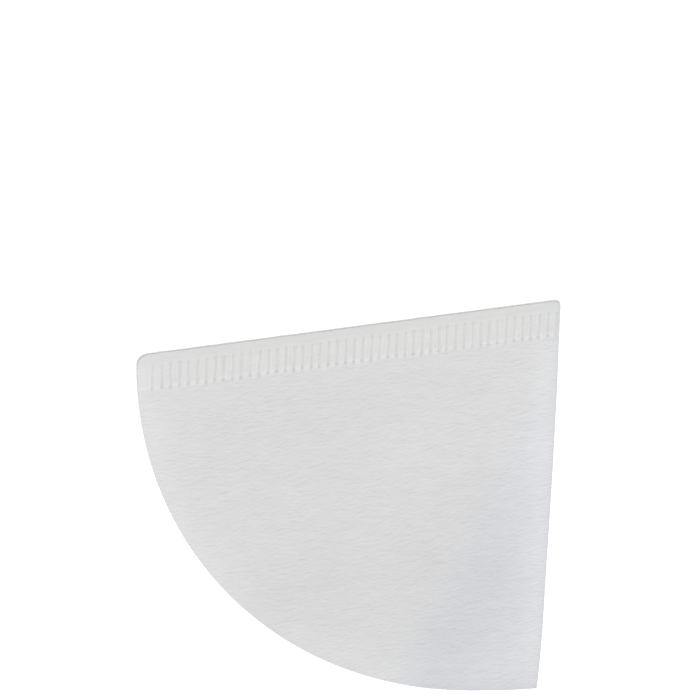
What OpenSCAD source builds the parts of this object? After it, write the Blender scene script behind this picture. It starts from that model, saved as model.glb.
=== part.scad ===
// A cone filter of creped paper, folded flat: a quarter disc of two plies, one sheet of paper
// folded along one straight side, crimped to itself along the other, and open along the arc.

/* [Sheet] */
// Length of the straight sides, from the tip to the mouth
filter_r = 125; // [90:1:160]
// Thickness of one ply
ply_t = 0.22; // [0.15:0.01:0.35]
// Radius of the corner between the seam and the mouth
corner_r = 3.2; // [2:0.1:9]
// Radius of the tip, between the seam and the fold
tip_r = 1.6; // [0.8:0.1:2.8]
// Widest gap between the plies, in the middle of the mouth
mouth_gap = 1.2; // [0.4:0.1:3]
// How much further from the tip the mouth reaches at the fold
fold_reach = 1.1; // [0:0.1:2.5]
// Width of that longer part, from the fold
reach_w = 17; // [8:1:30]

/* [Crimped seam] */
// Plain margin between the cut edge and the ribs
margin_w = 2.6; // [2.3:0.1:5]
// Length of a rib, across the seam
rib_len = 7.9; // [5:0.1:12]
// Distance from one rib to the next
rib_pitch = 2.54; // [1.8:0.01:4]
// Height of a rib above the grooves beside it
rib_h = 0.5; // [0.2:0.05:0.9]
// Width of a rib's flat top
rib_top_w = 1.4; // [0.8:0.05:1.4]
// Width of a groove's flat bottom
groove_w = 0.3; // [0.1:0.05:0.35]
// Length of the slope at each end of a rib
rib_end_len = 0.7; // [0.3:0.1:1.2]
// Plain paper between the fold and the first rib
fold_plain_w = 1; // [0.2:0.1:2]
// Plain paper between the last rib and the mouth, at least
mouth_plain_w = 3.2; // [1:0.1:6]

/* [Form] */
// Pressed strip between the ribs and the line where the plies part
press_w = 1; // [0.5:0.1:3]
// Length over which the lower ply comes down from the seam to the surface it lies on
settle_len = 9; // [4:1:20]

/* [Fineness] */
// Largest step of the mesh across the paper
cell_w = 9; // [5:1:15]
// Number of steps along the mouth's arc
arc_steps = 36; // [20:1:48]

/* [Hidden] */

paper_color = [0.86, 0.86, 0.85];

// Steps round the fold, and round each corner of the outline
fold_steps = 4;
corner_steps = 5;
// Rows of the mesh beside the seam are never closer than this
row_gap = 0.25;

// Distances from the cut edge of the seam: the ribs' inner ends, and where the plies part
seam_w = margin_w + rib_len;
part_y = seam_w + press_w;

// The corner's arc is centred at (corner_x, corner_r) and meets the mouth's arc at corner_y
corner_x = sqrt(pow(filter_r - corner_r, 2) - pow(corner_r, 2));
corner_y = corner_r * filter_r / (filter_r - corner_r);
corner_turn = 90 + asin(corner_r / (filter_r - corner_r));

// The filter's own axes: x runs along the seam from the fold, y along the fold from the seam
function fold_x(y) = y < tip_r ? tip_r - sqrt(pow(tip_r, 2) - pow(tip_r - y, 2)) : 0;
function mouth_x(y) = y < corner_y
    ? corner_x + sqrt(pow(corner_r, 2) - pow(corner_r - y, 2))
    : sqrt(pow(filter_r, 2) - pow(y, 2));
function reach(x, y) = fold_reach * pow(max(0, 1 - x / reach_w), 1.2) * pow(y / filter_r, 2);
function placed(x, y, z) = [x, y + reach(x, y), z];

// The crimp's outline: each point is a place along the seam and a height, from -1 to 1
flank_w = (rib_pitch - rib_top_w - groove_w) / 2;
edge_w = 0.12;
edge_drop = 0.15;
rib_outline = [
    [0, -1],
    [flank_w, 1 - edge_drop],
    [flank_w + edge_w, 1],
    [flank_w + rib_top_w - edge_w, 1],
    [flank_w + rib_top_w, 1 - edge_drop],
    [flank_w * 2 + rib_top_w, -1]
];
ribs_from = fold_x(margin_w) + ply_t + fold_plain_w;
ribs_to = min(mouth_x(margin_w), mouth_x(seam_w)) - mouth_plain_w;
rib_n = floor((ribs_to - ribs_from) / rib_pitch);
rib_points = [
    for (i = [0 : rib_n - 1], p = rib_outline) [ribs_from + i * rib_pitch + p[0], p[1]]
];

// Heights: the crimp's strength along a rib, the seam's lift off the surface, and the pouch's
// gap, which is a cone with straight lines from the point where the fold and the seam part
function ease(s) = let (c = max(0, min(1, s))) c * c * (3 - 2 * c);
function crimp(y) = min(1, max(0, min(y - margin_w, seam_w - y) / rib_end_len));
function lift(y) = rib_h / 2 * (1 - ease((y - seam_w) / settle_len));
function under_z(y, w) = lift(y) + w * crimp(y) * rib_h / 2;
function gap(x, y) = y <= part_y ? 0 : let (
    from_tip = [x - ply_t, y - part_y],
    s = atan2(from_tip[1], from_tip[0]) / 90
) mouth_gap * norm(from_tip) / (filter_r - part_y) * 27 / 4 * s * s * (1 - s);

// Rows of the mesh run along the seam, each at its own distance from the seam's cut edge
function sorted(v) = len(v) < 2 ? v : let (m = v[floor(len(v) / 2)]) concat(
    sorted([for (a = v) if (a < m) a]), [m], sorted([for (a = v) if (a > m) a]));
function spaced(v, i = 0, last = -1) = i == len(v) ? [] :
    v[i] < last + row_gap ? spaced(v, i + 1, last) : concat([v[i]], spaced(v, i + 1, v[i]));
function steps(n) = [for (i = [0 : n]) i / n];
last_angle = acos(3 * ply_t / filter_r);
part_angle = asin(part_y / filter_r);
seam_rows = spaced(sorted(concat(
    [for (s = steps(corner_steps)) corner_r * (1 - cos(corner_turn * s))],
    [for (s = steps(corner_steps)) tip_r * (1 - cos(90 * s))],
    [margin_w, margin_w + rib_end_len, seam_w - rib_end_len, seam_w]
)));
pouch_rows = [
    for (s = steps(arc_steps)) filter_r * sin(part_angle + (last_angle - part_angle) * s)
];
rows = concat([for (y = seam_rows) if (y < part_y - row_gap) y], pouch_rows);

// Places across the paper in one row, each with its share of the crimp
function columns(y) = let (
    from = fold_x(y) + ply_t,
    to = mouth_x(y),
    n = max(1, ceil((to - from) / cell_w))
) crimp(y) > 0
    ? concat([[from, 0]], rib_points, [[to, 0]])
    : [for (s = steps(n)) [from + (to - from) * s, 0]];

// The four faces of the two plies, counted from below, and the round of the fold
function face_row(y, face) = [
    for (c = columns(y))
        placed(c[0], y, under_z(y, c[1]) + [0, 1, 1, 2][face] * ply_t + (face > 1 ? gap(c[0], y) : 0))
];
function fold_row(y) = [
    for (s = steps(fold_steps))
        placed(fold_x(y) + ply_t * (1 - sin(180 * s)), y, lift(y) + ply_t * (1 - cos(180 * s)))
];

// Triangles between two rows of points, which can have different numbers of points
function strip(a, b) = let (m = len(a) - 1, n = len(b) - 1) concat(
    [for (i = [0 : m - 1]) [a[i], a[i + 1], b[floor((i + 0.5) * n / m + 0.5)]]],
    [for (j = [0 : n - 1]) [b[j + 1], b[j], a[ceil((j + 0.5) * m / n - 0.5)]]]
);
function loft(lines) = [for (i = [0 : len(lines) - 2]) each strip(lines[i], lines[i + 1])];
function turned(triangles) = [for (t = triangles) [t[2], t[1], t[0]]];
function last(v) = v[len(v) - 1];

// What closes a ply: its edge at the mouth, and its section in the first and the last row
function rim(lower, upper) = loft([for (i = [0 : len(lower) - 1]) [last(lower[i]), last(upper[i])]]);
function section(faces, i) = concat(
    strip(faces[0][i], faces[1][i]),
    strip(faces[2][i], faces[3][i]),
    [for (k = [0 : fold_steps - 1]) [faces[1][i][0], fold_row(rows[i])[k + 1], fold_row(rows[i])[k]]]
);

module paper_filter() {
    faces = [for (f = [0 : 3]) [for (y = rows) face_row(y, f)]];
    pocket = [for (f = [1, 2]) [for (y = pouch_rows) face_row(y, f)]];
    triangles = concat(
        loft(faces[0]),
        turned(loft(faces[3])),
        turned(loft(pocket[0])),
        loft(pocket[1]),
        turned(loft([for (y = rows) fold_row(y)])),
        rim(faces[0], faces[1]),
        rim(faces[2], faces[3]),
        turned(section(faces, 0)),
        section(faces, len(rows) - 1)
    );
    color(paper_color)
        translate([mouth_x(corner_y) / 2, (filter_r + fold_reach) / 2, 0])
            rotate(180)
                polyhedron(
                    points = [for (t = triangles) each t],
                    faces = [for (i = [0 : len(triangles) - 1]) [3 * i, 3 * i + 1, 3 * i + 2]]
                );
}

paper_filter();
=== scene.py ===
# %% [markdown]
# # A cone coffee filter of creped paper, folded flat
# The real thing is one sheet of thin white paper. It is cut out as a half disc, folded in the
# middle, crimped to itself along one straight side and left open along the arc. This lesson makes
# it in the same order: cut a flat sheet, give it its thickness, fold it, press the seam, and then
# give it the look of creped paper. Everything is in metres, in the frame of the CAD model.

# %% The frame that the paper has to fit
import math
import random
import bmesh
import bpy
from mathutils import Euler, Matrix, Vector, noise


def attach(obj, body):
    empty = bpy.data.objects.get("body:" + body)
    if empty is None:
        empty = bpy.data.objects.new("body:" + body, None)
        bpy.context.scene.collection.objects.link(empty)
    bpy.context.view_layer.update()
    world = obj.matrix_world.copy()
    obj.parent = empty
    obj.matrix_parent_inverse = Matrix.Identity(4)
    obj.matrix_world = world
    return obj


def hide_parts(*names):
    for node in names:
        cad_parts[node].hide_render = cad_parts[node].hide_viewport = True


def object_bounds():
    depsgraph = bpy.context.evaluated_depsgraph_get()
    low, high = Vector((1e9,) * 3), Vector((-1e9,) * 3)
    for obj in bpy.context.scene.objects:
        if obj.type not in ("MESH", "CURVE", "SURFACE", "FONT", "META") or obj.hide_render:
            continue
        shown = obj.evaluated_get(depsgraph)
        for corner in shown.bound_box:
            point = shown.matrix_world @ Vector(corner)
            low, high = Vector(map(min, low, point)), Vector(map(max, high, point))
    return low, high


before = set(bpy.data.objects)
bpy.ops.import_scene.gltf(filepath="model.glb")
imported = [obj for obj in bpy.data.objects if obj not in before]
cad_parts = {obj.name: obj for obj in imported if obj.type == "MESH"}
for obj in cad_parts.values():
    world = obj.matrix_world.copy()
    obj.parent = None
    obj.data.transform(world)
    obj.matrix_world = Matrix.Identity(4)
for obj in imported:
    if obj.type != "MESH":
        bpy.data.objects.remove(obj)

MM = 0.001
cad_low, cad_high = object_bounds()
print("CAD box in mm", [round(side / MM, 2) for side in cad_high - cad_low])

# %% [markdown]
# ## The camera
# The photograph looks down at the flat paper from far away with a long lens, so parallel edges
# stay nearly parallel. A camera could be aimed with a Track To constraint, but this one is also
# rolled about its own line of sight, so its turn is built from three angles instead. It aims at a
# place on the seam, given by its distance from the filter's tip, which lies in the corner of the
# CAD model's box where x and y are greatest.

# %% Camera at the photograph's viewing angle
AIM = Vector((cad_high.x - 62.67 * MM, cad_high.y - 6.71 * MM, 0.7 * MM))
DISTANCE = 1.8182
AZIMUTH = math.radians(-146.044)
ELEVATION = math.radians(56.332)
ROLL = math.radians(143.182)

# In millimetres, as Blender takes them
LENS = 335.83
SENSOR_WIDTH = 36

camera_data = bpy.data.cameras.new("camera")
camera_data.sensor_width = SENSOR_WIDTH
camera_data.lens = LENS
camera_data.clip_end = 10
camera = bpy.data.objects.new("camera", camera_data)
bpy.context.collection.objects.link(camera)
turn = Euler((math.radians(90) - ELEVATION, 0, AZIMUTH)).to_matrix() @ Matrix.Rotation(ROLL, 3, "Z")
camera.rotation_euler = turn.to_euler()
camera.location = AIM + turn @ Vector((0, 0, DISTANCE))
bpy.context.scene.camera = camera
print("camera at", [round(place, 3) for place in camera.location])

# %% [markdown]
# ## Floor and light
# White paper on a white floor shows its form only by soft shade. One wide lamp stands high on the
# side of the mouth and shines along the ribs, so that their ends and the crepe across its path
# catch it, and an even white world fills the shade. Half of the light comes from each, and a level
# surface gets about the brightness that its colour says.

# %% The floor, just under the paper so that the two faces never share a place
FLOOR_SIZE = 6
FLOOR_DROP = 0.03 * MM

floor_mesh = bmesh.new()
bmesh.ops.create_grid(floor_mesh, x_segments=1, y_segments=1, size=FLOOR_SIZE / 2)
floor_data = bpy.data.meshes.new("floor")
floor_mesh.to_mesh(floor_data)
floor_mesh.free()
floor = bpy.data.objects.new("floor", floor_data)
floor.location.z = -FLOOR_DROP
bpy.context.collection.objects.link(floor)
print("floor", FLOOR_SIZE, "m square")

# %% [markdown]
# The floor has to be white in the picture without more light on the paper. A brighter lamp would
# bleach the paper too, so the floor glows a little instead, and only where the camera or a
# reflection sees it. The paper gets none of that glow, and the floor still takes its shadow.

# %% The floor's paint, white to the camera and in reflections
GLOW = 0.3

floor_paint = bpy.data.materials.new("white_floor")
floor_paint.use_nodes = True
floor_nodes, floor_links = floor_paint.node_tree.nodes, floor_paint.node_tree.links
floor_shader = floor_nodes["Principled BSDF"]
floor_shader.inputs["Roughness"].default_value = 1
floor_shader.inputs["Specular IOR Level"].default_value = 0
floor_shader.inputs["Base Color"].default_value = (0.9, 0.9, 0.9, 1)
floor_shader.inputs["Emission Color"].default_value = (1, 1, 1, 1)
rays = floor_nodes.new("ShaderNodeLightPath")
seen = floor_nodes.new("ShaderNodeMath")
seen.operation = "MAXIMUM"
glow = floor_nodes.new("ShaderNodeMath")
glow.operation = "MULTIPLY"
glow.inputs[1].default_value = GLOW
floor_links.new(rays.outputs["Is Camera Ray"], seen.inputs[0])
floor_links.new(rays.outputs["Is Glossy Ray"], seen.inputs[1])
floor_links.new(seen.outputs[0], glow.inputs[0])
floor_links.new(glow.outputs[0], floor_shader.inputs["Emission Strength"])
floor_data.materials.append(floor_paint)
print("paint", floor_paint.name)

# %% An even white world
WORLD_LEVEL = 0.5

world = bpy.data.worlds.new("studio")
world.use_nodes = True
sky = world.node_tree.nodes["Background"]
sky.inputs["Color"].default_value = (1, 1, 1, 1)
sky.inputs["Strength"].default_value = WORLD_LEVEL
bpy.context.scene.world = world
bpy.context.scene.view_settings.view_transform = "Standard"
print("world at", WORLD_LEVEL)

# %% One wide lamp, high on the side of the mouth
LAMP_TURN = math.radians(265)
LAMP_HEIGHT = math.radians(58)
LAMP_DISTANCE = 5
LAMP_SIZE = 2.4
LAMP_POWER = 157

lamp_data = bpy.data.lights.new("lamp", "AREA")
lamp_data.shape = "DISK"
lamp_data.size = LAMP_SIZE
lamp_data.energy = LAMP_POWER
lamp = bpy.data.objects.new("lamp", lamp_data)
toward_lamp = Vector((
    math.cos(LAMP_TURN) * math.cos(LAMP_HEIGHT),
    math.sin(LAMP_TURN) * math.cos(LAMP_HEIGHT),
    math.sin(LAMP_HEIGHT),
))
lamp.location = toward_lamp * LAMP_DISTANCE
lamp.rotation_euler = toward_lamp.to_track_quat("Z", "Y").to_euler()
bpy.context.collection.objects.link(lamp)
print("lamp at", [round(place, 2) for place in lamp.location])

# %% [markdown]
# ## The blank: one ply, cut from a flat sheet
# A ply is a quarter disc. A disc primitive would meet in a pole at the tip, and its spokes would
# cross the crimp at every angle. A grid suits paper better: its rows run along the seam, as the
# crepe does, and its columns run along the ribs. The rows are slid closer together where the
# seam's detail will be, and then the grid is trimmed with straight snips, as with scissors.

# %% Sizes of the flat sheet
# Its straight sides, the thickness of one ply, its corner's radius, and where the grooves lie
SIDE = 125 * MM
PAPER = 0.22 * MM
CORNER = 3.2 * MM
RIB_PITCH = 2.54 * MM
FIRST_GROOVE = 1.07 * MM

# Half the paper that goes round the fold, and what that adds to a distance across the paper
ROUND = PAPER * math.pi / 2
SLACK = ROUND - PAPER
print("the fold takes", round(2 * ROUND / MM, 2), "mm of paper")

# %% Places of the grid's rows and columns
# Rows in the seam, in millimetres from its cut edge, closest where the grooves start and stop
SEAM_ROWS = [0, 0.3, 0.9, 1.6, 2.1, 2.5, 2.8, 3.1, 3.4, 3.7, 4.1, 4.7, 5.5, 6.4, 7.3, 8.2, 8.8, 9.2,
             9.5, 9.8, 10.1, 10.4, 10.7, 11.0, 11.4, 12.0]
ROW_STEP = 0.53 * MM
FOLD_COLUMNS = [0, ROUND / 3, ROUND * 2 / 3, ROUND, ROUND + 0.3 * MM, ROUND + 0.7 * MM]

row_places = [row * MM for row in SEAM_ROWS]
while row_places[-1] < SIDE:
    row_places.append(row_places[-1] + ROW_STEP)
column_places = FOLD_COLUMNS + [FIRST_GROOVE + SLACK]
while column_places[-1] < SIDE + SLACK:
    column_places.append(column_places[-1] + RIB_PITCH / 2)
print(len(row_places), "rows and", len(column_places), "columns")

# %% The grid, with its points slid to those places
sheet = bmesh.new()
columns, rows = len(column_places) - 1, len(row_places) - 1
bmesh.ops.create_grid(sheet, x_segments=columns, y_segments=rows, size=0.5)
for point in sheet.verts:
    column = round((point.co.x + 0.5) * columns)
    row = round((point.co.y + 0.5) * rows)
    point.co = (column_places[column], row_places[row], 0)
print("grid of", columns, "by", rows, "cells")


# %% One snip of the scissors
def snip(centre, radius, angle):
    """Cuts away what lies beyond a straight line that touches a circle at this angle."""
    outward = Vector((math.cos(angle), math.sin(angle), 0))
    everything = sheet.verts[:] + sheet.edges[:] + sheet.faces[:]
    bmesh.ops.bisect_plane(
        sheet, geom=everything, dist=0.03 * MM, clear_outer=True,
        plane_co=centre + outward * radius, plane_no=outward,
    )


tip_of_blank = Vector((SLACK, 0, 0))
print("tip of the blank at", round(tip_of_blank.x / MM, 3), "mm")

# %% Snip the arc and the rounded corner
ARC_SNIPS = 60
CORNER_SNIPS = 6

corner_centre = tip_of_blank + Vector((math.sqrt((SIDE - CORNER) ** 2 - CORNER ** 2), CORNER, 0))
corner_angle = math.asin(CORNER / (SIDE - CORNER))
for step in range(ARC_SNIPS):
    share = (step + 0.5) / ARC_SNIPS
    snip(tip_of_blank, SIDE, corner_angle + (math.pi / 2 - corner_angle) * share)
for step in range(CORNER_SNIPS):
    share = (step + 0.5) / CORNER_SNIPS
    snip(corner_centre, CORNER, corner_angle - (math.pi / 2 + corner_angle) * share)
print("trimmed to", len(sheet.faces), "faces")

# %% [markdown]
# ## Finer paper where the crimp will be
# Each rib needs a dozen points across it, but the plain paper doesn't. Subdividing only the
# edges that lie along the seam, inside the crimped strip, adds those points just there, and
# leaves a fan of triangles in the rows beside it.

# %% Subdivide the strip of ribs
RIBS = 47
STRIP_FROM = 1.8 * MM
STRIP_TO = 11.5 * MM
CUTS = 5

strip_end = FIRST_GROOVE + SLACK + (RIBS + 0.55) * RIB_PITCH
strip_edges = []
for edge in sheet.edges:
    one, two = (point.co for point in edge.verts)
    level = abs(one.y - two.y) < 0.001 * MM
    inside = STRIP_FROM < one.y < STRIP_TO and min(one.x, two.x) > ROUND
    if level and inside and max(one.x, two.x) < strip_end:
        strip_edges.append(edge)
bmesh.ops.subdivide_edges(sheet, edges=strip_edges, cuts=CUTS, use_single_edge=True)
print(len(strip_edges), "edges cut; the ply has", len(sheet.faces), "faces")

# %% [markdown]
# ## Mirror and thickness
# Mirroring the ply across the fold line gives the half disc that the paper is cut to. Solidify
# then gives it its thickness while it is still flat, where both faces are exactly level. The
# fold comes afterwards and bends both faces together, as it does with real paper.

# %% The flat half disc, with two faces
bmesh.ops.mirror(
    sheet, geom=sheet.verts[:] + sheet.edges[:] + sheet.faces[:],
    matrix=Matrix.Identity(4), merge_dist=0.001 * MM, axis="X",
)
bmesh.ops.recalc_face_normals(sheet, faces=sheet.faces[:])
bmesh.ops.solidify(sheet, geom=sheet.faces[:], thickness=PAPER)
wide = max(point.co.x for point in sheet.verts) - min(point.co.x for point in sheet.verts)
print("half disc", round(wide / MM, 1), "mm wide,", len(sheet.faces), "faces")

# %% [markdown]
# ## The crimp
# Toothed wheels press grooves through both plies, and what stays up between them are the ribs. A
# groove spreads into a small pit at each of its ends. No two come out quite the same in soft
# paper, so each gets its own depth, width and lean from one seeded draw, and their spacing bows a
# little. An array modifier would make them all alike. Here the crimp's height is a function of the
# place on the ply instead, and the fold below gives it to both plies.


# %% Helpers that ease from 0 to 1, and make a soft hump of height 1
def ease(share):
    share = max(0, min(1, share))
    return share * share * (3 - 2 * share)


def hump(distance, width):
    return math.exp(-((distance / width) ** 2))


print("ease", [round(ease(step / 4), 2) for step in range(5)])
print("hump", [round(hump(step / 2, 1), 2) for step in range(5)])

# %% Every groove's own shape, and that of the rib before it
# A groove has a depth, a width, a shift, a lean, the strength of its pits, and its inner and outer
# ends. A rib's top sags, splits along a line aside from its middle, and ends in a tongue of
# painted light.
dice = random.Random(11)
ribs = []
for _ in range(RIBS + 2):
    ribs.append({
        "depth": dice.uniform(0.7, 1.05),
        "width": dice.uniform(0.8, 1.25),
        "shift": dice.uniform(-0.13, 0.13) * MM,
        "lean": dice.uniform(-0.03, 0.03),
        "sag": dice.uniform(0, 0.22),
        "split": dice.uniform(0, 0.22),
        "aside": dice.uniform(-0.45, 0.45) * MM,
        "pit": dice.uniform(0.6, 1.2),
        "inner": dice.uniform(-0.2, 0.2) * MM,
        "outer": dice.uniform(-0.25, 0.25) * MM,
        "painted_tongue_light": dice.uniform(0.5, 1.5),
    })
print(len(ribs), "ribs drawn; the first groove is", round(ribs[0]["depth"], 2), "deep")

# %% A place along the seam, counted in grooves
BOW = 0.75 * MM
BOW_SKEW = 1.35
LEANS_ABOUT = 7 * MM


def rib_place(x, y):
    """The bow is greatest six tenths of the way to the mouth, and each groove leans on its own."""
    x += BOW * math.sin(math.pi * max(0, min(1, x / SIDE)) ** BOW_SKEW)
    nearest = ribs[max(0, min(RIBS + 1, round((x - FIRST_GROOVE) / RIB_PITCH)))]
    x += nearest["shift"] + nearest["lean"] * (y - LEANS_ABOUT)
    return (x - FIRST_GROOVE) / RIB_PITCH


print("the middle of the seam is at groove", round(rib_place(SIDE / 2, LEANS_ABOUT), 1))

# %% Where a groove stops, and the pit at each of its ends
MARGIN = 2.9 * MM
RIB_LENGTH = 7.3 * MM
SEAM = MARGIN + RIB_LENGTH
PIT_SIZE = 0.78 * MM


def groove_ends(groove):
    """The outer end, near the cut edge, and the inner end."""
    return MARGIN + 0.1 * MM + groove["outer"], SEAM + 0.6 * MM - groove["inner"]


def pits(groove, y):
    """How far into the outer and into the inner pit this place is, from 0 to about 1."""
    outer_end, inner_end = groove_ends(groove)
    outer = hump(y - outer_end - 0.15 * MM, PIT_SIZE) * groove["pit"]
    inner = hump(y - inner_end + 0.4 * MM, PIT_SIZE) * groove["pit"]
    return outer, inner


print("seam", round(SEAM / MM, 1), "mm wide")
print("the first groove ends at", [round(end / MM, 1) for end in groove_ends(ribs[0])], "mm")

# %% What the crimp is like at one place
GROOVE = 0.06 * MM
FLANK = 0.45 * MM


def crimp_at(x, y):
    """The groove and rib at a place, and how far down and along them it is. None off the crimp."""
    place = rib_place(x, y)
    number = round(place)
    if not STRIP_FROM <= y <= STRIP_TO + 0.5 * MM or not 0 <= number <= RIBS:
        return None
    groove = ribs[number]
    outer_end, inner_end = groove_ends(groove)
    outer_pit, inner_pit = pits(groove, y)
    width = groove["width"] + 0.45 * inner_pit + 0.35 * outer_pit
    from_groove = abs(place - number) * RIB_PITCH
    return {
        "groove": groove,
        "rib": ribs[max(0, min(RIBS + 1, math.floor(place) + 1))],
        "from_groove": from_groove,
        "from_rib": (place - math.floor(place) - 0.5) * RIB_PITCH,
        "width": width,
        "down": 1 - ease((from_groove - GROOVE * width) / (FLANK * width)),
        "along": ease((y - outer_end) / (1.1 * MM) + 0.5) * ease((inner_end - y) / (0.8 * MM) + 0.5),
    }


print("on the first groove it is", round(crimp_at(FIRST_GROOVE, LEANS_ABOUT)["down"], 2), "down")


# %% The crimp's height, from 0 on a rib to about -1 in a groove
def crimp_height(x, y):
    here = crimp_at(x, y)
    if not here:
        return 0
    rib = here["rib"]
    split = rib["split"] * hump(here["from_rib"] - rib["aside"], 0.15 * MM)
    top = (rib["sag"] + split) * (1 - here["down"])
    return -(here["down"] * here["groove"]["depth"] + top) * here["along"]


across_groove = [FIRST_GROOVE + share * RIB_PITCH for share in (0, 0.25, 0.5)]
print("groove, flank and rib", [round(crimp_height(x, LEANS_ABOUT), 2) for x in across_groove])

# %% [markdown]
# ## The lie of the paper
# Pressed flat, a filter is not quite flat. The seam is a low plateau as high as its ribs, the pouch
# stands a little open from the point where fold and seam part, the paper springs up beside the
# fold, its open edge droops, and handling leaves shallow dents. Each of these is a short function
# of the place on the ply, and noise adds the small waves that crepe leaves in the sheet.

# %% Lift of the seam, which its ribs hold off the floor
RIB_HEIGHT = 0.32 * MM
SETTLE = 9 * MM


def lift(y):
    """Two steps down, steep at the rib ends and slow beyond, and a droop at the cut edge."""
    at_rib_ends = 0.65 * ease((y - SEAM - 0.3 * MM) / (1.4 * MM) + 0.5)
    beyond = 0.35 * ease((y - SEAM) / SETTLE)
    droop = 0.6 * max(0, 1 - y / MARGIN) ** 2
    return RIB_HEIGHT * (1 - at_rib_ends - beyond) * (1 - droop)


print("lift", [round(lift(place * MM) / MM, 2) for place in (0, 3, 10, 12, 20)], "mm")

# %% The pouch between the plies, a cone from the point where they part
PART = SEAM + 1 * MM
MOUTH_GAP = 1.2 * MM


def pouch(x, y):
    """Widest two thirds of the way from the seam to the fold, where 27 / 4 makes the curve 1."""
    if y <= PART:
        return 0
    out_x, out_y = max(0, x - PAPER), y - PART
    turned = math.atan2(out_y, out_x) / (math.pi / 2)
    cone = math.hypot(out_x, out_y) / (SIDE - PART)
    return MOUTH_GAP * cone * 27 / 4 * turned ** 2 * (1 - turned)


print("pouch at the mouth", round(pouch(62 * MM, 108 * MM) / MM, 2), "mm")

# %% Dents and droops of the upper ply
# Each dent: its distances from the fold and from the seam's cut edge, its size and height, in mm
DENTS = [
    (99, 26, 4, -0.05), (80, 80, 5, -0.05), (61, 74, 6, -0.05), (85, 88, 4, -0.06),
    (30, 60, 9, 0.05), (70, 40, 12, 0.06), (96, 50, 10, 0.05), (45, 25, 10, 0.04),
]
VALLEY_LINE = (Vector((1, 70)), Vector((27, 119)))
VALLEY_WIDTH = 9
VALLEY_DEPTH = 0.16 * MM
VALLEY_BEGINS_OVER = 12
EDGE_DROOP = 0.22 * MM
EDGE_DROOP_WIDTH = 9 * MM


def handling(x, y):
    """The dents, one long valley that runs to the mouth, and the droop of the open edge."""
    here = Vector((x / MM, y / MM))
    total = sum(height * MM * hump((here - Vector((a, b))).length, size) for a, b, size, height in DENTS)
    start, end = VALLEY_LINE
    along = (end - start).normalized()
    aside = (here - start).cross(along)
    begun = ease((here - start).dot(along) / VALLEY_BEGINS_OVER + 0.5)
    total -= VALLEY_DEPTH * begun * hump(aside, VALLEY_WIDTH)
    to_mouth = SIDE - math.hypot(x, y)
    return total - EDGE_DROOP * max(0, 1 - to_mouth / EDGE_DROOP_WIDTH) ** 2


print("valley", round(handling(14 * MM, 95 * MM) / MM, 2), "mm")

# %% Small waves of the crepe, which run along the seam
# Each size of wave: its length along the seam and across it, its height, in mm, and its own seed
WAVES = [(14, 9, 0.07, 0), (6.5, 3.2, 0.055, 20), (3.2, 1.25, 0.02, 40)]


def waves(x, y, seed):
    """The height of all sizes of wave together, with another seed for each ply."""
    here = Vector((x / MM, y / MM))
    total = 0
    for along, across, height, own_seed in WAVES:
        total += noise.noise(Vector((here.x / along, here.y / across, seed + own_seed))) * height
    return total * MM


print("waves", [round(waves(step * MM, 30 * MM, 3) / MM, 3) for step in range(5)])

# %% [markdown]
# ## Fold and press
# Every point of the flat sheet now goes to its place in the folded filter. Its distance from the
# fold line says how far it has gone round the fold, its side says which ply it is in, and its
# height in the flat sheet says whether it is on the outside or the inside of the paper.

# %% How the tip, the cut edge and the mouth depart from straight lines
TIP = 1.6 * MM
REACH = 1.1 * MM
REACH_WIDTH = 17 * MM
FOLD_BULGE = 0.4 * MM
CORNER_IN = 0.9 * MM
CORNER_RUN = 27 * MM


def fold_in(y):
    """How far the tip's rounding and the fold's own curve draw the paper in, or let it bulge."""
    rounding = TIP - math.sqrt(TIP ** 2 - (TIP - y) ** 2) if y < TIP else 0
    corner = CORNER_IN * max(0, (y - 98 * MM) / CORNER_RUN) ** 2
    return rounding + corner - FOLD_BULGE * ease(y / (30 * MM)) * ease((100 * MM - y) / (50 * MM))


def place_along(x, y, inside, upper):
    """The mouth reaches further from the tip at the fold, and the cut edge is a little wavy."""
    reach = REACH * max(0, 1 - x / REACH_WIDTH) ** 1.2 * (y / SIDE) ** 2
    edge_wave = 0 if inside else noise.noise(Vector((x / (4 * MM), 3, upper))) * 0.12 * MM
    return y - edge_wave * ease(1 - y / (2 * MM)) + reach


print("the fold is drawn in by", [round(fold_in(place * MM) / MM, 2) for place in (0, 60, 125)])


# %% The way round the fold
def squeeze(y):
    """How much thinner the two plies are where they are pressed together, most at the cut edge."""
    return PAPER * max(0, 1 - y / (1.2 * MM)) ** 1.5 if y < PART else 0


def place_across(distance, y, inside):
    """The place from the fold, and how far the outside of the paper lies from the inside."""
    radius = 0 if inside else PAPER
    turned = min(1, distance / ROUND) * math.pi / 2
    x = PAPER - radius * math.cos(turned) + max(0, distance - ROUND)
    x += fold_in(y) * ease(1 - x / (20 * MM))
    rise = 0 if inside else (PAPER - squeeze(y) / 2) * math.sin(turned)
    return x, rise


flat_place = 60 * MM
folded_place = place_across(flat_place, flat_place, False)[0]
print("from", round(flat_place / MM), "mm on the sheet to", round(folded_place / MM, 2), "mm")

# %% Where a point of the flat sheet lies in the folded filter
FOLD_SPRING = 0.16 * MM
# Beyond the seam the plies stay at least this far apart, so that bonding the seam can't join them
LEAST_GAP = 0.005 * MM


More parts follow.
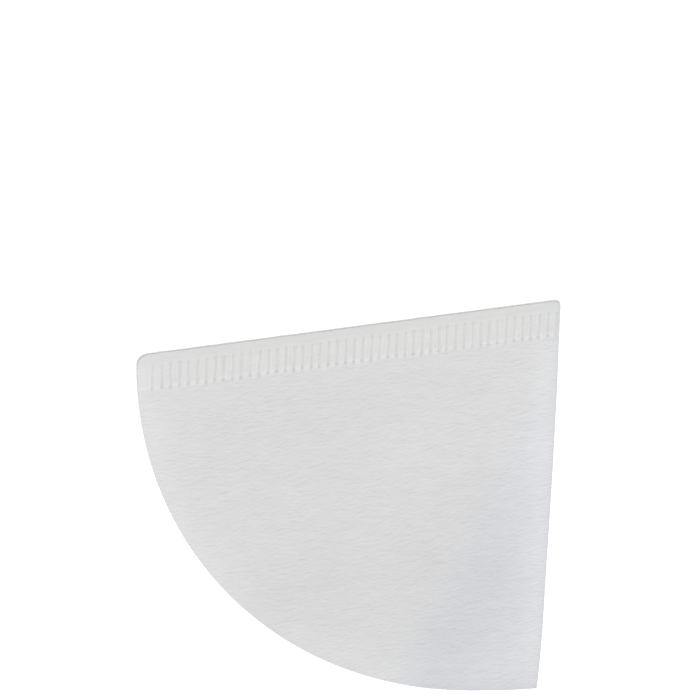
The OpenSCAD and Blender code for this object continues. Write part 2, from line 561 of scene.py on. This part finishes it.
def folded(distance, y, inside, upper):
    """The plies lie on each other in the seam, and part beyond it."""
    x, rise = place_across(distance, y, inside)
    y_out = place_along(x, y, inside, upper)
    opening = ease((y - PART) / (4 * MM))
    from_fold = ease((x - PAPER) / (1.5 * MM))
    middle = lift(y) + PAPER + crimp_height(x, y) * RIB_HEIGHT
    lower = max(PAPER, middle + waves(x, y, 7) * 0.6 * from_fold * opening)
    if not upper:
        return Vector((x, y_out, lower - rise))
    least = LEAST_GAP * ease((distance - ROUND) / (0.3 * MM)) if y > PART else 0
    spring = FOLD_SPRING * opening * hump(x - 0.7 * MM, 2 * MM)
    relief = (handling(x, y) + waves(x, y, 3)) * opening
    gap = max(least, pouch(x, y) + (relief + spring) * from_fold)
    dip = 0 if inside else 0.6 * PAPER
    return Vector((x, y_out, max(middle + gap, lower + least - dip) + rise))


folded_point = folded(flat_place, flat_place, False, True)
print("a point on the upper ply", [round(part / MM, 2) for part in folded_point], "mm")

# %% [markdown]
# ## Painted shade and light
# Soft shade and light are painted into the paper's colour: greyer in a pressed groove, lighter on
# the ribs, which are also a little warmer, darker and cooler where the upper ply hangs free towards
# the fold, and lighter along the edges that stand off. Painting a picture would be tied to one
# layout. Instead each point of the mesh keeps three numbers, its painted shade, its painted
# coolness and how much of its crepe is left, and the material reads them as attributes.


# %% The painted shade of the seam, in hundredths, where a number below 0 is painted light
def in_band(y):
    """1 on the crimped band of the seam, and 0 beyond it."""
    return ease((y - MARGIN) / MM - 0.4) * ease((SEAM - y) / MM + 0.5)


def seam_shade(y):
    """Painted light: the whole seam a little, the band of ribs more, and the cut edge most."""
    # Painted light on the band of ribs and on the cut edge
    painted_band_light = (2.7 - 1.2 * hump(y - 8.5 * MM, 1.3 * MM)) * in_band(y)
    painted_edge_light = 6 * hump(y, 1.2 * MM) + 2 * hump(y - 0.75 * MM, 0.35 * MM) + 5 * hump(y, 0.2 * MM)
    return -1.2 * ease((SEAM - y) / MM + 0.5) - painted_band_light - painted_edge_light


print("seam", [round(seam_shade(place * MM), 1) for place in (0, 2, 6, 12)])


# %% The painted shade and light of each groove and rib
def crimp_shade(x, y):
    """Painted shade in a pressed groove and its pits, and painted light on a rib's sides and tongue."""
    here = crimp_at(x, y)
    if not here:
        return 0
    outer_pit, inner_pit = pits(here["groove"], y)
    from_groove, down, along = here["from_groove"], here["down"], here["along"]
    painted_groove_shade = 0.5 * down + 0.6 * hump(from_groove, 0.28 * MM * here["width"])
    # Painted shade where the groove and its pits are pressed
    pressed = painted_groove_shade * 6.3 * along + down * (4.5 * inner_pit + 5 * outer_pit)
    # Painted light on a rib's shoulders, painted shade along its middle, and random streaks
    middle = hump(from_groove - RIB_PITCH / 2, 0.3 * MM)
    streak = noise.noise(Vector((x / (0.4 * MM), y / (4 * MM), 60)))
    painted_rib_light_and_streaks = (1.7 * hump(from_groove - 0.8 * MM, 0.3 * MM) - 1.5 * middle + 5 * streak) * along
    # A painted highlight on the tongue at each rib's inner end
    painted_tongue_light = hump(from_groove - RIB_PITCH / 2, 0.75 * MM) * (1 - down) * here["rib"]["painted_tongue_light"]
    return pressed - painted_rib_light_and_streaks - 4.2 * hump(y - SEAM - 0.75 * MM, 0.85 * MM) * painted_tongue_light


print("groove, flank and rib", [round(crimp_shade(x, LEANS_ABOUT), 1) for x in across_groove])


# %% The painted shade and light along the mouth and along the fold
def mouth_shade(x, y):
    """Painted light along the mouth where its edge stands off, and painted shade where it comes down."""
    to_mouth = max(0, SIDE - math.hypot(x, y))
    from_fold = math.degrees(math.atan2(x, y))
    low = 0.38 * ease((60 - from_fold) / 25) + 0.62 * ease((23 - from_fold) / 8)
    painted_darkness = 8.5 * hump(to_mouth, 5.2 * MM) + 4 * hump(to_mouth, 1.3 * MM)
    return low * painted_darkness - 3.6 * hump(to_mouth, 6 * MM)


def fold_shade(x, y, distance):
    """Painted light beside the fold beyond the seam, and a thin painted dark line on the fold itself."""
    painted_fold_light = 4 * hump(x - 3 * MM, 4.5 * MM) * ease((y - SEAM) / (4 * MM))
    return 8 * hump(distance, 0.6 * MM) - painted_fold_light


print("mouth", round(mouth_shade(30 * MM, 120 * MM), 1), "fold", round(fold_shade(0, 60 * MM, 0), 1))

# %% Broad soft marks of painted shade and light, and all the painted shade together
# Each mark: its distances from the fold and from the seam's cut edge, its size in mm, and its painted
# shade
PAINTED_MARKS = [
    (19, 85, 10, 6), (28, 104, 14, 8), (22, 62, 13, 2.6), (38, 78, 9, 3.4), (62, 83, 24, 2.6),
    (67, 79, 6, 1.6), (83, 83, 9, 3), (99, 26, 8, 1), (72, 32, 22, 0.8), (40, 42, 13, -1.4),
    (7, 22, 13, -2), (8, 46, 11, -2), (121, 24, 13, -2.2), (9, 98, 9, 2), (16, 71, 11, 1.8),
    (34, 113, 8, 0.8), (1, 120, 8, 3),
]


def painted_shade(x, y, distance):
    """The painted shade of one point, from its place and from its distance to the fold on the sheet."""
    here = Vector((x / MM, y / MM))
    painted_marks = sum(painted_darkness * hump((here - Vector((a, b))).length, size) for a, b, size, painted_darkness in PAINTED_MARKS)
    painted_mouth_and_fold_shade = mouth_shade(x, y) + fold_shade(x, y, distance)
    return painted_marks + painted_mouth_and_fold_shade + seam_shade(y) + crimp_shade(x, y)


print("shade of the darkest mark", round(painted_shade(24 * MM, 98 * MM, 24 * MM), 2))


# %% Painted coolness, where 1 is painted cool light and a number below 0 is warm
def painted_coolness(x, y):
    """Painted cool light on the fold's side of a slanting border; faintly warm in mid-seam."""
    border = 12 * MM + 0.47 * (y - 44 * MM)
    towards_fold = ease((border - x) / (16 * MM) + 0.5)
    in_seam = ease((SEAM - y) / MM + 0.5)
    off_its_ends = ease((x - 6 * MM) / (6 * MM)) * ease((115 * MM - x) / (10 * MM))
    warm = 0.42 * in_seam * off_its_ends
    return towards_fold + 0.3 * hump(x, 10 * MM) * (1 - towards_fold) - warm


print("painted_coolness", round(painted_coolness(10 * MM, 90 * MM), 2), "warm", round(painted_coolness(60 * MM, 6 * MM), 2))

# %% How much of the crepe is left
CRISPEST = Vector((20, 92))
CRISP_SIZE = 35
PRESSED_OUT = 0.65


def creped(x, y):
    """A little more than 1 about one place, and less in the seam, where wheels press it out."""
    from_crispest = (Vector((x / MM, y / MM)) - CRISPEST).length
    pressed = PRESSED_OUT * ease((SEAM - y) / MM + 0.5)
    return (1 + 0.15 * hump(from_crispest, CRISP_SIZE)) * (1 - pressed)


print("crepe left in the seam", round(creped(60 * MM, 6 * MM), 2))

# %% [markdown]
# ## Fold the sheet
# All of these functions now meet in one loop over the points. A lattice or a chain of modifiers
# could bend the sheet too, but here each point needs its own place and its own three numbers. The
# inner faces of the seam are picked out while the sheet is still flat, because they are easy to
# tell there: they lie a ply's thickness away from the outer ones.

# %% Three numbers for every point of the mesh
# Painted shade and painted coolness for the colour, and the crepe that is left for the bump
painted_shade_layer = sheet.verts.layers.float.new("painted_shade")
painted_coolness_layer = sheet.verts.layers.float.new("painted_coolness")
creped_layer = sheet.verts.layers.float.new("creped")
print("the points keep", sheet.verts.layers.float.keys())

# %% Pick the inner faces that the seam will close
seam_inside = []
for face in sheet.faces:
    deep = all(abs(point.co.z) > PAPER / 2 for point in face.verts)
    if deep and max(point.co.y for point in face.verts) < PART + 0.01 * MM:
        seam_inside.append(face)
print(len(seam_inside), "inner faces in the seam")

# %% Move every point, and note its three numbers
# The filter's tip goes to the corner of the CAD model's box, and the sheet runs back from it
tip_place = Vector((cad_high.x, cad_high.y, 0))
for point in sheet.verts:
    inside = abs(point.co.z) > PAPER / 2
    distance, from_seam = abs(point.co.x), point.co.y
    place = folded(distance, from_seam, inside, point.co.x > 0)
    point[painted_shade_layer] = painted_shade(place.x, from_seam, distance)
    point[painted_coolness_layer] = painted_coolness(place.x, from_seam)
    point[creped_layer] = creped(place.x, from_seam)
    point.co = Vector((tip_place.x - place.x, tip_place.y - place.y, place.z))
print("folded", len(sheet.verts), "points")

# %% [markdown]
# ## Bond the seam
# The crimp presses the two plies into one. Their inner faces in the seam are taken out, and the
# points that now lie on each other are merged, which leaves one closed skin round both plies and
# the pocket between them. Normals are turned outwards once that skin is closed, and only the
# sharp edge where the paper was cut is shaded as an edge.

# %% Take out the inner faces of the seam and merge
bmesh.ops.delete(sheet, geom=seam_inside, context="FACES")
bmesh.ops.remove_doubles(sheet, verts=sheet.verts[:], dist=0.002 * MM)
bmesh.ops.dissolve_degenerate(sheet, edges=sheet.edges[:], dist=0.001 * MM)
bmesh.ops.recalc_face_normals(sheet, faces=sheet.faces[:])
open_edges = sum(len(edge.link_faces) != 2 for edge in sheet.edges)
triangles = sum(len(face.verts) - 2 for face in sheet.faces)
print("open or doubled edges", open_edges, "triangles", triangles, "volume", sheet.calc_volume())

# %% Shade it smooth up to its cut edges
SHARP = math.radians(50)

for face in sheet.faces:
    face.smooth = True
for edge in sheet.edges:
    edge.smooth = len(edge.link_faces) == 2 and edge.calc_face_angle(0) < SHARP
print(sum(not edge.smooth for edge in sheet.edges), "sharp edges")

# %% The piece
paper_data = bpy.data.meshes.new("creped_sheet")
sheet.to_mesh(paper_data)
sheet.free()
paper_piece = bpy.data.objects.new("creped_sheet", paper_data)
bpy.context.collection.objects.link(paper_piece)
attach(paper_piece, "root")
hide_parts("paper_filter")
print("piece", paper_piece.name, "with", len(paper_data.vertices), "points")

# %% [markdown]
# ## Creped paper
# Creping packs the wet sheet into fine wrinkles: each is a few millimetres long and under one
# wide, all run roughly along the seam, and neighbours cross at a small angle. Stretched noise
# gives that, and two layers of it, slanted either way, keep it from looking combed. The wrinkles
# are finer than the mesh, so they go into the normal, while the broader waves are in the mesh.
# One layer is a node group. Its stretch is the number of wrinkles in a metre along the seam,
# across it and through the paper.


# %% A node group for one layer of wrinkles, and its sockets
def add_socket(group, name, kind, way, value=None):
    socket = group.interface.new_socket(name=name, in_out=way, socket_type=kind)
    if value is not None:
        socket.default_value = value


crepe_layer = bpy.data.node_groups.new("crepe_layer", "ShaderNodeTree")
add_socket(crepe_layer, "Place", "NodeSocketVector", "INPUT")
add_socket(crepe_layer, "Stretch", "NodeSocketVector", "INPUT", (300, 1100, 300))
add_socket(crepe_layer, "Slant", "NodeSocketVector", "INPUT", (0, 0, 0.1))
add_socket(crepe_layer, "Height", "NodeSocketFloat", "OUTPUT")
print("group", crepe_layer.name, "with", len(crepe_layer.interface.items_tree), "sockets")

# %% The group's nodes: turn the place, stretch it, and read noise there
group_nodes, group_links = crepe_layer.nodes, crepe_layer.links
start = group_nodes.new("NodeGroupInput")
end = group_nodes.new("NodeGroupOutput")
turned = group_nodes.new("ShaderNodeMapping")
turned.vector_type = "POINT"
scaled = group_nodes.new("ShaderNodeVectorMath")
scaled.operation = "MULTIPLY"
wrinkle = group_nodes.new("ShaderNodeTexNoise")
wrinkle.inputs["Scale"].default_value = 1
wrinkle.inputs["Detail"].default_value = 0.5
wrinkle.inputs["Roughness"].default_value = 0.3
wrinkle.inputs["Distortion"].default_value = 0.5
group_links.new(start.outputs["Place"], turned.inputs["Vector"])
group_links.new(start.outputs["Slant"], turned.inputs["Rotation"])
group_links.new(turned.outputs["Vector"], scaled.inputs[0])
group_links.new(start.outputs["Stretch"], scaled.inputs[1])
group_links.new(scaled.outputs[0], wrinkle.inputs["Vector"])
group_links.new(wrinkle.outputs["Fac"], end.inputs["Height"])
print(len(group_nodes), "nodes in the group")

# %% [markdown]
# ## The paper's material
# Paper is rough and hardly glossy, and those two numbers are the same all over, so they are set
# on the shader itself. Three things change over the surface: the wrinkles, the fibre and the
# colour. They read Object coordinates, which stay with the paper wherever the camera goes, or the
# three numbers kept in the mesh.

# %% The material and its shader
paper = bpy.data.materials.new("creped_paper")
paper.use_nodes = True
nodes, links = paper.node_tree.nodes, paper.node_tree.links
shader = nodes["Principled BSDF"]
shader.inputs["Roughness"].default_value = 0.92
shader.inputs["Specular IOR Level"].default_value = 0.2
coordinates = nodes.new("ShaderNodeTexCoord")
print("material", paper.name)


# %% Helpers for a sum, difference or product, and for one of the mesh's numbers
def maths(operation, first, second):
    node = nodes.new("ShaderNodeMath")
    node.operation = operation
    for socket, value in zip(node.inputs, (first, second)):
        if isinstance(value, (int, float)):
            socket.default_value = value
        else:
            links.new(value, socket)
    return node.outputs[0]


def attribute(name):
    node = nodes.new("ShaderNodeAttribute")
    node.attribute_name = name
    return node.outputs["Fac"]


print("the mesh keeps", [name for name in ("painted_shade", "painted_coolness", "creped") if name in paper_data.attributes])

# %% Wrinkles: two layers of crepe, slanted either way
CREPE_DEPTH = 0.113 * MM


def layer(stretch, slant):
    node = nodes.new("ShaderNodeGroup")
    node.node_tree = crepe_layer
    node.inputs["Stretch"].default_value = stretch
    node.inputs["Slant"].default_value = (0, 0, math.radians(slant))
    links.new(coordinates.outputs["Object"], node.inputs["Place"])
    return node.outputs["Height"]


# Two noises of a half each on average make 1, so 1 is taken off to leave heights about 0
crepe = maths("ADD", layer((480, 1230, 480), 5), layer((420, 1120, 420), -12))
crepe = maths("MULTIPLY", maths("SUBTRACT", crepe, 1), attribute("creped"))
crepe_bump = nodes.new("ShaderNodeBump")
crepe_bump.inputs["Distance"].default_value = CREPE_DEPTH
links.new(crepe, crepe_bump.inputs["Height"])
print("wrinkles", round(CREPE_DEPTH / MM, 3), "mm deep")

# %% [markdown]
# ## Fibre
# Seen closely, the paper is a felt of fibres. Moving the mesh that finely would take millions of
# points, so a second Bump adds fine noise to the normal that the first one leaves.

# %% Fibre: fine noise on top of the wrinkles
FIBRE_SCALE = 2600
FIBRE_DEPTH = 0.01 * MM

fibre = nodes.new("ShaderNodeTexNoise")
fibre.inputs["Scale"].default_value = FIBRE_SCALE
fibre.inputs["Detail"].default_value = 3
links.new(coordinates.outputs["Object"], fibre.inputs["Vector"])
fibre_bump = nodes.new("ShaderNodeBump")
fibre_bump.inputs["Distance"].default_value = FIBRE_DEPTH
links.new(fibre.outputs["Fac"], fibre_bump.inputs["Height"])
links.new(crepe_bump.outputs["Normal"], fibre_bump.inputs["Normal"])
links.new(fibre_bump.outputs["Normal"], shader.inputs["Normal"])
print("fibre", round(1 / FIBRE_SCALE / MM, 2), "mm across")

# %% [markdown]
# ## Colour
# The paper is a bleached white, a little cloudy because its fibres lie thicker in some places. An
# image would be tied to one layout, so the colour is worked out in nodes: noise mixes a thin and a
# thick white, painted coolness tints it, and painted shade darkens it by about a hundredth a step,
# where a shade below 0 is painted light.


# %% Helpers that mix two colours, and multiply or scale one
# A Mix node has sockets for every kind of data: those of colours are inputs 6 and 7 and output 2
def mixed(share, first, second):
    """A mix of two colours, in which a share below 0 goes beyond the first."""
    node = nodes.new("ShaderNodeMix")
    node.data_type = "RGBA"
    node.clamp_factor = False
    node.inputs[6].default_value = first
    node.inputs[7].default_value = second
    links.new(share, node.inputs[0])
    return node.outputs[2]


def vector_maths(operation, first, second):
    node = nodes.new("ShaderNodeVectorMath")
    node.operation = operation
    links.new(first, node.inputs[0])
    links.new(second, node.inputs["Scale" if operation == "SCALE" else 1])
    return node.outputs[0]


print(len(nodes), "nodes so far")

# %% Colour: a cloudy white, with painted cool tint and painted shade from the mesh's numbers
THIN = (0.682, 0.682, 0.682, 1)
THICK = (0.727, 0.727, 0.727, 1)
PAINTED_COOL_TINT = (0.99, 1, 1.041, 1)
PAINTED_SHADE_STEP = 0.0105

cloud = nodes.new("ShaderNodeTexNoise")
cloud.inputs["Scale"].default_value = 260
cloud.inputs["Detail"].default_value = 3
links.new(coordinates.outputs["Object"], cloud.inputs["Vector"])
paper_colour = mixed(cloud.outputs["Fac"], THIN, THICK)
# Painted cool light tints the white, and a number below 0 makes it warm
tint = mixed(attribute("painted_coolness"), (1, 1, 1, 1), PAINTED_COOL_TINT)
# Painted shade darkens the colour, and a shade below 0 lightens it as painted light
level = maths("SUBTRACT", 1, maths("MULTIPLY", attribute("painted_shade"), PAINTED_SHADE_STEP))
tinted = vector_maths("MULTIPLY", paper_colour, tint)
links.new(vector_maths("SCALE", tinted, level), shader.inputs["Base Color"])
paper_data.materials.append(paper)
print(len(nodes), "nodes in the paper's material")
